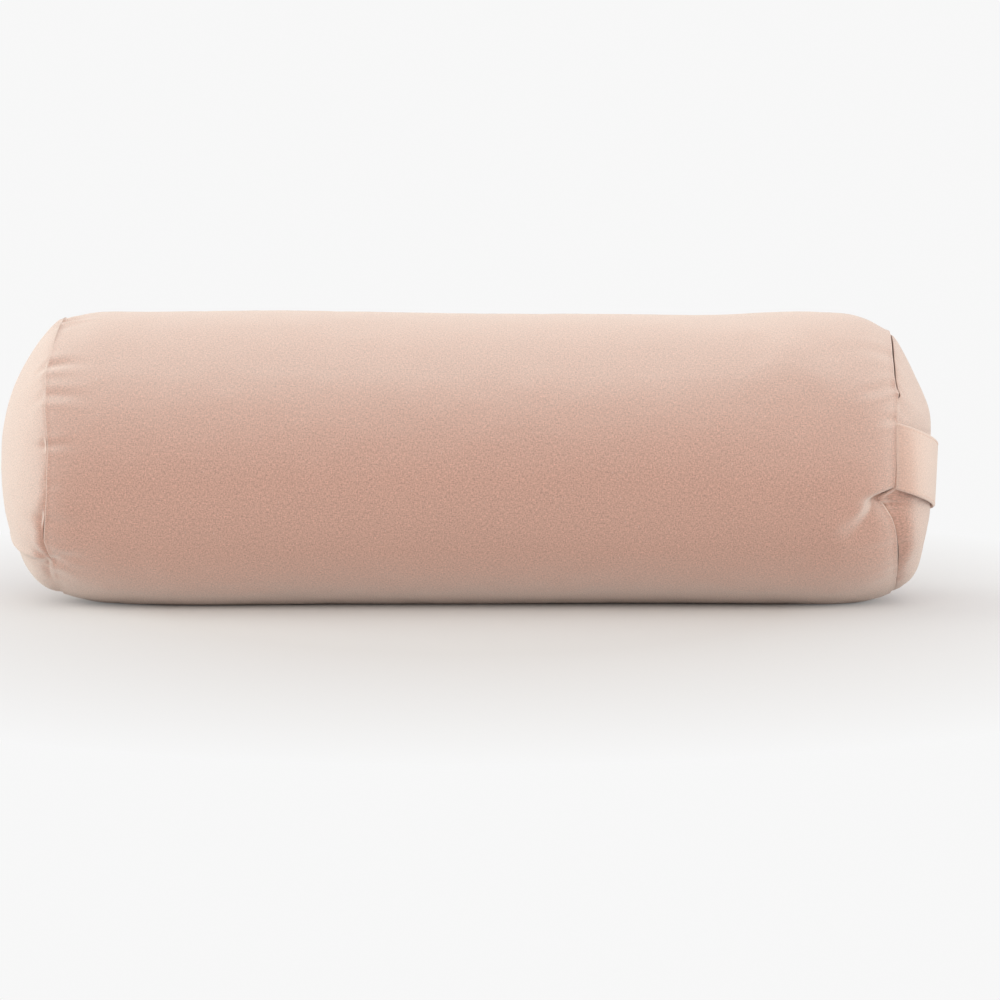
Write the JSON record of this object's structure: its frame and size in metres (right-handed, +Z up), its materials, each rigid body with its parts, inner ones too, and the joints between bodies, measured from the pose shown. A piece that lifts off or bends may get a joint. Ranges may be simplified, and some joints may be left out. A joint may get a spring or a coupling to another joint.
{
  "type": "yoga bolster",
  "caption": "Round stuffed yoga bolster in plain blush canvas, with a fabric carry handle across one end and a zip along the back of its removable cover.",
  "frame": {"origin": "middle of the flat where the bolster rests on the floor", "axes": "+X along the bolster towards the end with the handle, -Y towards the front, +Z up"},
  "size_m": [0.7219, 0.2279, 0.2251],
  "materials": {
    "canvas": "matte",
    "zip_tape": "matte",
    "zip_teeth": "satin",
    "zip_metal": "satin",
    "muslin": "matte",
    "batting": "matte"
  },
  "bodies": {
    "cover": {"cover_body_panel": "canvas", "cover_end_panel_plain": "canvas", "cover_end_panel_handle": "canvas", "handle_strap": "canvas", "zip_tape_upper": "zip_tape", "zip_tape_lower": "zip_tape", "zip_teeth_upper": "zip_teeth", "zip_teeth_lower": "zip_teeth", "zip_top_stop_upper": "zip_metal", "zip_top_stop_lower": "zip_metal", "zip_bottom_stop": "zip_metal", "liner_tube": "muslin", "liner_end_plain": "muslin", "liner_end_handle": "muslin", "batting_roll": "batting"},
    "zip_slider": {"zip_slider": "zip_metal"},
    "zip_pull": {"zip_pull": "zip_metal"}
  },
  "joints": [
    {"name": "zip_slide", "type": "slide", "parent": "cover", "child": "zip_slider", "axis": [-1, 0, 0], "range_m": [0, 0.42], "deforming": ["zip_teeth_upper", "zip_teeth_lower"]},
    {"name": "pull_swing", "type": "hinge", "parent": "zip_slider", "child": "zip_pull", "pos_m": [0.2101, 0.10521, 0.15351], "axis": [0, 0.3746, -0.9272], "range_deg": [0, 170]}
  ]
}
